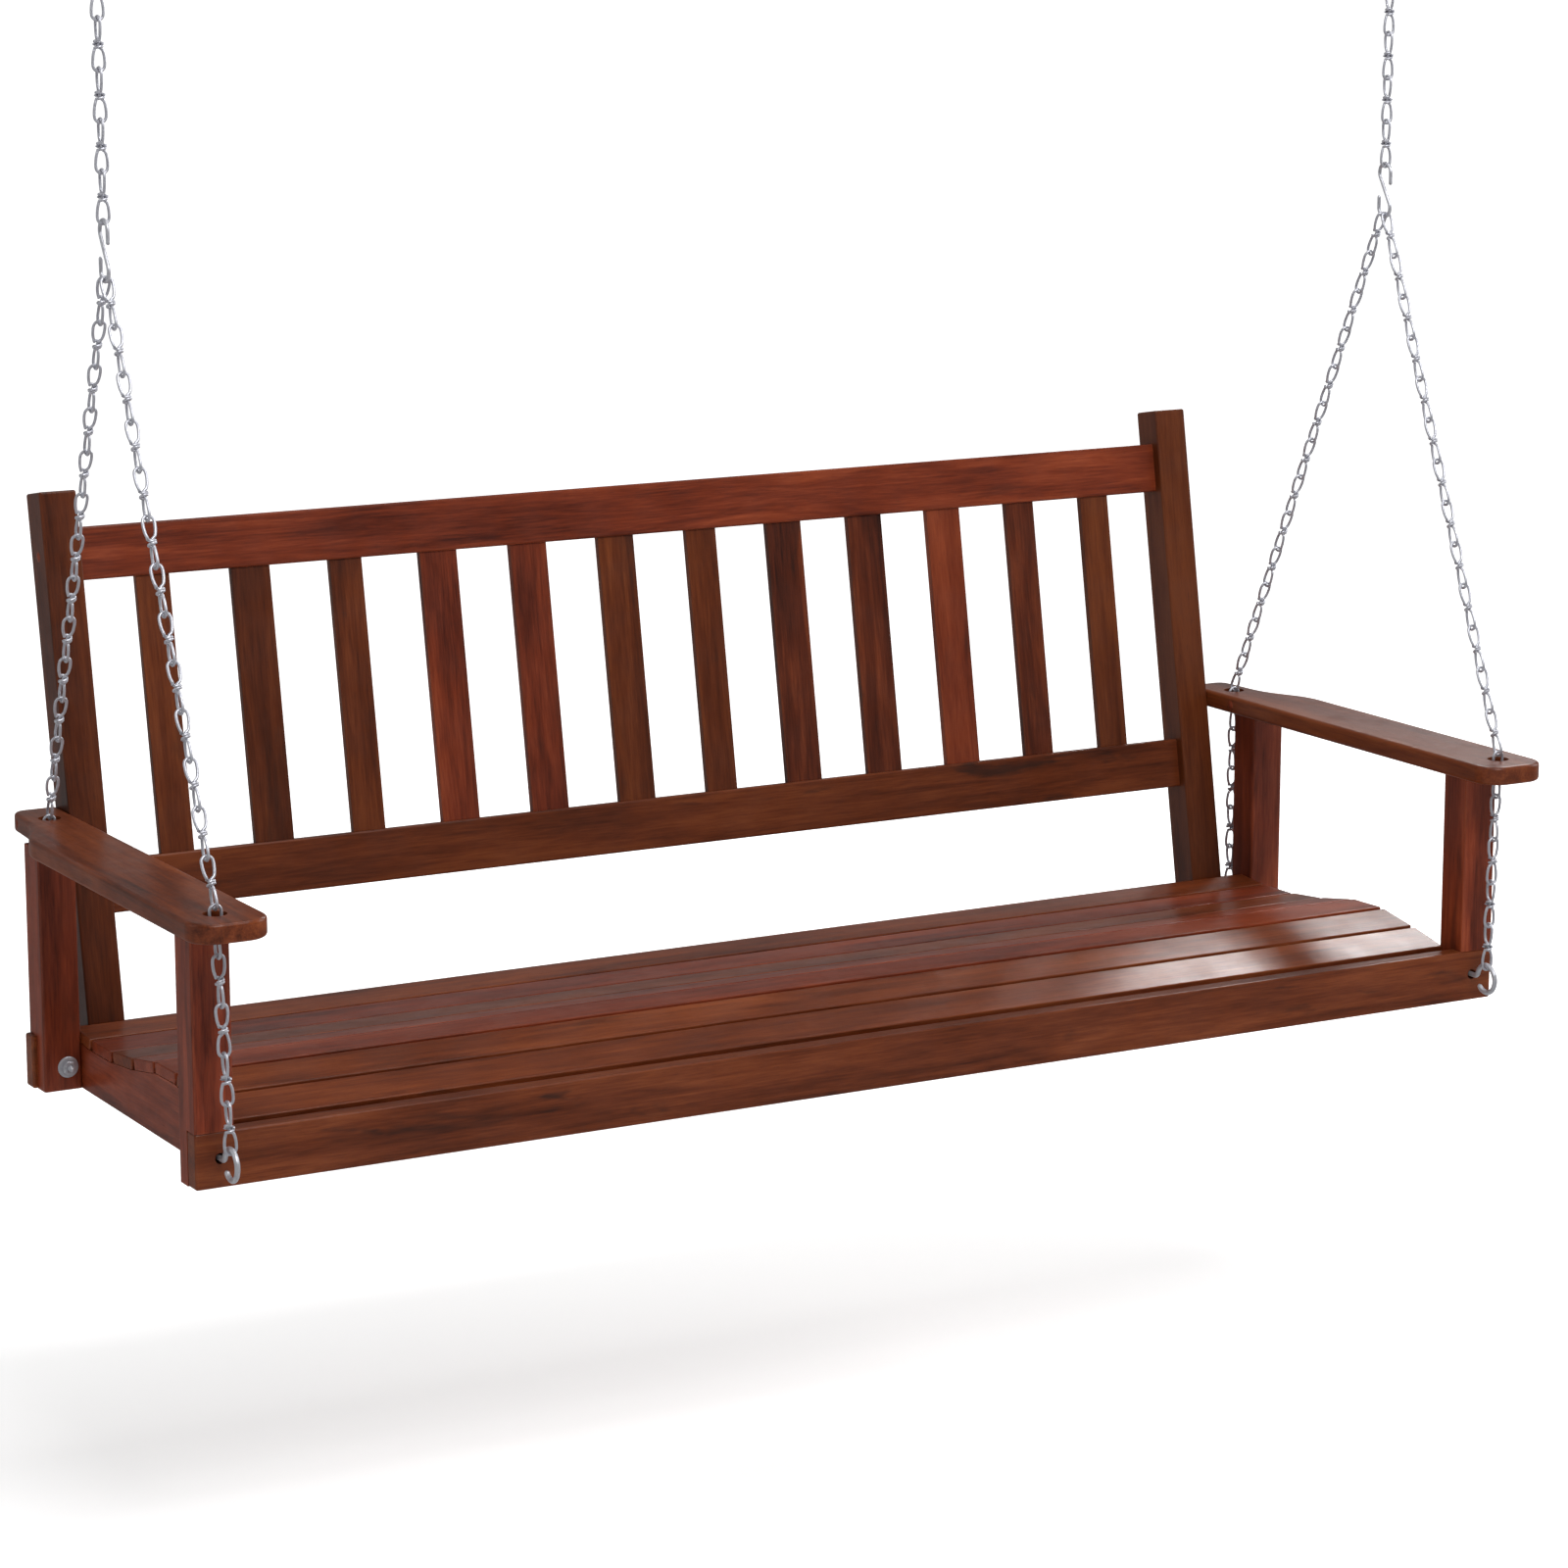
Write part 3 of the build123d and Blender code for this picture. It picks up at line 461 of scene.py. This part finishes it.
def link_wire(twisted):
    """The wire of one double-loop link, hanging from the origin: a loop, a wrapped neck, a loop."""
    side = X if twisted else Y
    middle = -LINK_HEIGHT / 2

    def wrap(start, size, z0, z1):
        steps = 9
        points = []
        for i in range(steps + 1):
            angle = math.radians(start + size * i / steps)
            height = z0 + (z1 - z0) * i / steps
            points.append(Vector((WRAP_R * math.cos(angle), WRAP_R * math.sin(angle), height)))
        return points

    def beside(axis, up, spot):
        """A point beside the knot, above its middle where up is 1 and below it where up is -1."""
        out, away = spot
        return axis * out + Z * (middle + up * away)

    first_wrap = wrap(-90, 270, middle + WRAP_LOW, middle + WRAP_HIGH)
    tail = [first_wrap[0] - X * TAIL_RUN - Z * TAIL_LIFT, first_wrap[0] - X * TAIL_HALF]
    upper = [beside(-X, 1, WRAPPED_SHOULDER), beside(-X, 1, LOOP_SIDE)]
    upper += arc(-Z * LOOP_R, LOOP_R, 180, -180, X, Z, 6)
    upper += [beside(X, 1, spot) for spot in (LOOP_SIDE, CROSSED_SHOULDER, CROSSED_THROAT)]
    neck = [Z * (middle + NECK_HALF), Z * (middle - NECK_HALF)]
    lower = [beside(-side, -1, spot) for spot in (CROSSED_THROAT, CROSSED_SHOULDER, LOOP_SIDE)]
    lower += arc(-Z * (LINK_HEIGHT - LOOP_R), LOOP_R, 180, 180, side, Z, 6)
    lower += [beside(side, -1, LOOP_SIDE), beside(side, -1, WRAPPED_SHOULDER)]
    start = 0 if twisted else 90
    second_wrap = wrap(start, 270, middle - WRAP_HIGH, middle - WRAP_LOW)
    last = second_wrap[-1]
    heading = Vector((-last.y, last.x, 0)).normalized()
    end = [last + heading * TAIL_HALF, last + heading * END_RUN + Z * TAIL_LIFT]
    points = tail + first_wrap + upper + neck + lower + second_wrap + end
    return [point * MM for point in smooth_path(points, 1.7)]


LINK_WIRES = {twisted: link_wire(twisted) for twisted in (False, True)}
LINKS = {
    twisted: tube(wire, rounded_end(path_length(wire), DRAWN_WIRE_R * MM), 10)
    for twisted, wire in LINK_WIRES.items()
}


def link_matrix(top, down, quarter_turn):
    """The frame of a link: its top wire's centre, and the way it hangs."""
    across = Y if quarter_turn else X
    across = (across - down * across.dot(down)).normalized()
    up = -down
    other = up.cross(across)
    turn = Matrix((across, other, up)).transposed().to_4x4()
    return Matrix.Translation(top) @ turn


def hung_links(start, end, count, quarter_turn=False):
    run = end - start
    return [link_matrix(start + run * (i / count), run.normalized(), quarter_turn) for i in range(count)]


def chain(name, matrices, body, twisted_at=None):
    links = Mesh()
    for i, matrix in enumerate(matrices):
        points, faces = LINKS[i == twisted_at]
        links.add(points, faces, matrix)
    piece = links.piece(f"{name}_wire", chain_zinc)
    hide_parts(name)
    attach(piece, body)


CEILING_WIRE_R = 3.5
S_WIRE_R = 2.0
S_ARC_R = 10.0
RING_INSET = S_ARC_R - S_WIRE_R - WIRE_R - PLAY
BOLT_WIRE_R = 2.75
BOLT_RING_R = 15.0
BOLT_REACH = 25.5
GRIPPED = BOLT_WIRE_R + WIRE_R + PLAY
DROP_LENGTH = (DROP_LINKS - 1) * LINK_PITCH + LINK_HEIGHT
# bolt (x, z), the ring centre's y, and the armrest hole (x, y)
LEGS = {
    "front": ((734.5, -26.0), -BOLT_REACH, (743.4, -22.8)),
    "rear": ((735.0, -31.0), FRAME_DEPTH + BOLT_REACH, (727.0, 452.0)),
}
for side, sign in (("left", -1), ("right", 1)):
    pivot = Vector((sign * HANG_X, 0, PIVOT_Z))
    for place, (bolt, ring_y, hole) in LEGS.items():
        drop_end = seat_point(sign * bolt[0], ring_y, bolt[1] + BOLT_RING_R - GRIPPED)
        shift = seat_point(sign * hole[0], hole[1], 0) - drop_end
        rise = math.sqrt((DROP_LENGTH * MM) ** 2 - shift.x**2 - shift.y**2)
        arm_point = drop_end + Vector((shift.x, shift.y, rise))
        leg = (arm_point - pivot).normalized()
        drop = (drop_end - arm_point).normalized()
        matrices = hung_links(pivot + leg * RING_INSET * MM, arm_point, LEG_LINKS)
        matrices += hung_links(arm_point, arm_point + drop * DROP_LINKS * LINK_PITCH * MM, DROP_LINKS)
        for i in range(TWISTED_LINK + 1, LEG_LINKS + DROP_LINKS):
            matrices[i] = link_matrix(matrices[i].translation, drop, True)
        chain(f"{side}_{place}_leg_chain", matrices, "seat", TWISTED_LINK)
    upper_top = Vector((sign * HANG_X, 0, BEARING_Z + (CEILING_WIRE_R + WIRE_R + PLAY) * MM))
    upper = hung_links(upper_top, upper_top - Z * UPPER_LINKS * LINK_PITCH * MM, UPPER_LINKS, True)
    chain(f"{side}_upper_chain", upper, f"{side}_hanger")

# ---------------------------------------------------------------- S-hooks
S_CENTRES = 38.0
S_TAIL = 13.0
cross_angle = math.degrees(math.asin(2 * S_ARC_R / S_CENTRES))
s_path = [Vector((0, -S_ARC_R, S_CENTRES - S_TAIL)), Vector((0, -S_ARC_R, S_CENTRES - S_TAIL / 2))]
s_path += arc(Z * S_CENTRES, S_ARC_R, 180, -180 - cross_angle, Y, Z, 26)
s_path += arc(Vector(), S_ARC_R, 180 - cross_angle, 180 + cross_angle, Y, Z, 26)
s_path += [Vector((0, S_ARC_R, S_TAIL / 2)), Vector((0, S_ARC_R, S_TAIL))]
for side, sign in (("left", -1), ("right", 1)):
    middle = Vector((sign * HANG_X, 0, PIVOT_Z))
    path = smooth_path([middle + point * MM for point in s_path], 0.0012)
    hook = Mesh()
    hook.add(*tube(path, rounded_end(path_length(path), S_WIRE_R * MM), 18))
    piece = hook.piece(f"{side}_s_hook_wire", hook_zinc)
    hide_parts(f"{side}_s_hook")
    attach(piece, f"{side}_hanger")


# ---------------------------------------------------------------- hook bolts, washers, nuts
def lathe(profile, steps, size_at=None):
    """(points, faces) of a closed ring: a loop of (radius, height) turned about Z. size_at can
    trim a radius by its angle."""
    points = []
    for i in range(steps):
        angle = 2 * math.pi * i / steps
        for radius, height in profile:
            size = size_at(radius, angle) if size_at else radius
            points.append(Vector((size * math.cos(angle), size * math.sin(angle), height)))
    count = len(profile)
    faces = []
    for i in range(steps):
        k = (i + 1) % steps
        for j in range(count):
            n = (j + 1) % count
            faces.append((i * count + j, k * count + j, k * count + n, i * count + n))
    return points, faces


NUT_FLAT = 6.5
NUT_HEIGHT = 5.0
WASHER_R = 11.0
WASHER_T = 1.5
HOLE_R = 2.8


def hexagon(radius, angle):
    """The radius of a nut at an angle: its flats, or the turned radius where that is less."""
    turn = (angle + math.pi / 6) % (math.pi / 3) - math.pi / 6
    return min(radius, NUT_FLAT / math.cos(turn)) if radius > HOLE_R + 1 else radius


washer_profile = [
    (HOLE_R, 0.2),
    (HOLE_R, WASHER_T - 0.2),
    (HOLE_R + 0.3, WASHER_T),
    (WASHER_R - 0.5, WASHER_T),
    (WASHER_R - 0.1, WASHER_T - 0.3),
    (WASHER_R, WASHER_T / 2),
    (WASHER_R - 0.1, 0.3),
    (WASHER_R - 0.5, 0.0),
    (HOLE_R + 0.3, 0.0),
]
nut_profile = [
    (HOLE_R, 0.5),
    (HOLE_R, NUT_HEIGHT - 0.5),
    (HOLE_R + 0.6, NUT_HEIGHT),
    (6.2, NUT_HEIGHT),
    (6.9, NUT_HEIGHT - 0.45),
    (7.6, NUT_HEIGHT - 1.1),
    (7.6, 1.1),
    (6.9, 0.45),
    (6.2, 0.0),
    (HOLE_R + 0.6, 0.0),
]
bend_r = 6.0
ring_bend = math.degrees(math.acos(bend_r / (bend_r + BOLT_RING_R)))
bend_start = (bend_r + BOLT_RING_R) * math.sin(math.radians(ring_bend))
BOLT_TIP = 35.0
BOLT_PAST_NUT = 7.0
POST_WIDTH = 40.0
THREAD_LENGTH = 24.0
THREAD_PITCH = 1.0
THREAD_DEPTH = 0.38
THREAD_FADE = 2.0
THREAD_STEP = 0.17
bolts, washers, nuts = Mesh(), Mesh(), Mesh()
for sign in (-1, 1):
    for place, (bolt, ring_y, _) in LEGS.items():
        outward = -1 if place == "front" else 1
        face_y = POST_WIDTH if place == "front" else FRAME_DEPTH - POST_WIDTH
        inward = Y * -outward
        centre = seat_point(sign * bolt[0], ring_y, bolt[1])
        shank = abs(face_y - ring_y) + WASHER_T + NUT_HEIGHT + BOLT_PAST_NUT
        steps = round(THREAD_LENGTH / THREAD_STEP)
        route = [inward * (shank - THREAD_LENGTH * i / steps) for i in range(steps + 1)]
        plain = shank - THREAD_LENGTH - bend_start
        route += [inward * (shank - THREAD_LENGTH - plain * i / 8) for i in range(1, 8)]
        route += arc(inward * bend_start + Z * bend_r, bend_r, -90, -ring_bend, inward, Z, 10)
        route += arc(Vector(), BOLT_RING_R, 90 - ring_bend, 270 + ring_bend - BOLT_TIP, inward, Z, 56)[1:]
        path = [centre + point * MM for point in route]
        total = path_length(path)
        plain_end = rounded_end(total, BOLT_WIRE_R * MM)

        def threaded(distance, angle, plain_end=plain_end):
            size = plain_end(distance, angle)
            if distance < THREAD_LENGTH * MM:
                phase = (distance / (THREAD_PITCH * MM) - angle / (2 * math.pi)) % 1.0
                fade = min(1.0, (THREAD_LENGTH * MM - distance) / (THREAD_FADE * MM))
                size -= THREAD_DEPTH * MM * abs(2 * phase - 1) * fade
            return size

        bolts.add(*tube(path, threaded, 18))
        seat_face = seat_point(sign * bolt[0], face_y, bolt[1])
        along = Matrix.Rotation(math.radians(90 * outward), 4, "X")
        washers.add(*lathe([(r * MM, z * MM) for r, z in washer_profile], 48),
                    Matrix.Translation(seat_face) @ along)
        nut_turn = Matrix.Rotation(math.radians(17 if sign < 0 else 8), 4, "Z")
        nut_points, nut_faces = lathe(nut_profile, 72, hexagon)
        nuts.add([point * MM for point in nut_points], nut_faces,
                 Matrix.Translation(seat_face + inward * WASHER_T * MM) @ along @ nut_turn)
for mesh, name in ((bolts, "hook_bolts"), (washers, "hook_bolt_washers"), (nuts, "hook_bolt_nuts")):
    piece = mesh.piece(f"{name}_detail", hook_zinc)
    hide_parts(name)
    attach(piece, "seat")

# ---------------------------------------------------------------- ceiling hooks
# millimetres; the hook is a screw end, a bend out, and a bowl flattened where the link bears
C_ARC_R = 16.0
C_BEND_R = 8.0
C_BEARING = 5.0
C_GAP = 10.0
C_THREAD = 60.0
C_THREAD_PITCH = 2.6
C_THREAD_DEPTH = 0.26
C_THREAD_FADE = 4.0
C_POINT_R = 1.44
C_POINT_TAPER = 1.6 / 9
c_bend = math.degrees(math.acos((C_BEND_R - C_BEARING / 2) / (C_BEND_R + C_ARC_R)))
for side, sign in (("left", -1), ("right", 1)):
    origin = Vector((sign * HANG_X, 0, 0))
    outward = X * sign
    steps = round(C_THREAD / 0.4)
    route = [Z * (C_THREAD - (C_THREAD + C_GAP) * i / steps) for i in range(steps + 1)]
    route += arc(outward * C_BEND_R - Z * C_GAP, C_BEND_R, 180, c_bend, outward, Z, 12)[1:]
    bowl = BEARING_Z / MM + C_ARC_R
    route += arc(outward * (C_BEARING / 2) + Z * bowl, C_ARC_R, c_bend, -90 - c_bend, outward, Z, 30)[1:]
    route += arc(outward * (-C_BEARING / 2) + Z * bowl, C_ARC_R, 270, -115, outward, Z, 26)
    path = [origin + point * MM for point in route]
    total = path_length(path)
    round_end = rounded_end(total, CEILING_WIRE_R * MM)

    def screw_thread(distance, angle, round_end=round_end):
        size = round_end(distance, angle)
        thread = C_THREAD * 0.8 * MM
        if distance < thread:
            size = min(size, C_POINT_R * MM + distance * C_POINT_TAPER, CEILING_WIRE_R * MM)
            phase = (distance / (C_THREAD_PITCH * MM) - angle / (2 * math.pi)) % 1.0
            groove = min(1.0, 2.6 * abs(phase - 0.5))
            fade = min(1.0, (thread - distance) / (C_THREAD_FADE * MM))
            size -= size * C_THREAD_DEPTH * groove * fade
        return size

    hook = Mesh()
    hook.add(*tube(path, screw_thread, 18))
    piece = hook.piece(f"{side}_ceiling_hook_detail", hook_zinc)
    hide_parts(f"{side}_ceiling_hook")
    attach(piece, "ceiling")

# ---------------------------------------------------------------- stage and light
FLOOR_SIZE = 160
FLOOR_DROP = 0.42
# emission strength near the floor's centre and far from it, and the two distances
FLOOR_GLOW = (0.42, 1.0)
GLOW_REACH = (0.6, 3.2)
floor_z = cad_box[0][2] - FLOOR_DROP
bpy.ops.mesh.primitive_plane_add(size=FLOOR_SIZE, location=(0, 0, floor_z))
floor = bpy.context.active_object
floor.name = "floor"
floor_shader = Shader("floor")
floor_place = floor_shader.node("ShaderNodeTexCoord").outputs["Object"]
reach = floor_shader.node("ShaderNodeVectorMath", operation="LENGTH")
floor_shader.link(floor_place, reach.inputs[0])
floor_shader.bsdf.inputs["Base Color"].default_value = (0.86, 0.86, 0.86, 1)
floor_shader.bsdf.inputs["Roughness"].default_value = 0.9
floor_shader.bsdf.inputs["Emission Color"].default_value = (1, 1, 1, 1)
glow = floor_shader.ramp(reach.outputs["Value"], *GLOW_REACH, *FLOOR_GLOW)
floor_shader.link(glow, floor_shader.bsdf.inputs["Emission Strength"])
floor.data.materials.append(floor_shader.material)
floor.visible_glossy = False

# strength of the world toward the front, and toward the back
WORLD_STRENGTH = (0.14, 0.24)
world = bpy.data.worlds.new("studio")
scene.world = world
world.use_nodes = True
sky = world.node_tree
background = sky.nodes["Background"]
background.inputs["Color"].default_value = (1, 1, 1, 1)
direction = sky.nodes.new("ShaderNodeTexCoord")
axes = sky.nodes.new("ShaderNodeSeparateXYZ")
sky.links.new(direction.outputs["Generated"], axes.inputs["Vector"])
depth = sky.nodes.new("ShaderNodeMapRange")
depth.interpolation_type = "SMOOTHSTEP"
sky.links.new(axes.outputs["Y"], depth.inputs["Value"])
depth.inputs["From Min"].default_value = -0.8
depth.inputs["From Max"].default_value = 0.5
depth.inputs["To Min"].default_value = WORLD_STRENGTH[0]
depth.inputs["To Max"].default_value = WORLD_STRENGTH[1]
sky.links.new(depth.outputs["Result"], background.inputs["Strength"])


def softbox(name, location, target, size, power):
    light = bpy.data.lights.new(name, "AREA")
    light.shape = "RECTANGLE"
    light.size, light.size_y = size
    light.energy = power
    lamp = bpy.data.objects.new(name, light)
    scene.collection.objects.link(lamp)
    lamp.location = location
    lamp.rotation_euler = (Vector(target) - Vector(location)).to_track_quat("-Z", "Y").to_euler()
    lamp.visible_camera = False


softbox("key", (-0.2, -3.8, 3.0), (0, 0, -0.9), (2.6, 1.6), 190)
softbox("left_fill", (-4.2, 0.8, 0.8), (0, 0, -0.8), (2.4, 2.4), 16)
softbox("right_fill", (4.4, -0.6, 0.8), (0, 0, -0.8), (2.0, 2.4), 60)
softbox("overhead", (0.2, 0.2, 3.2), (0, 0, -1.0), (3.2, 1.6), 60)
softbox("back_strip", (2.50, 1.80, 0.80), (0.7, -0.1, -1.1), (0.80, 0.55), 25)
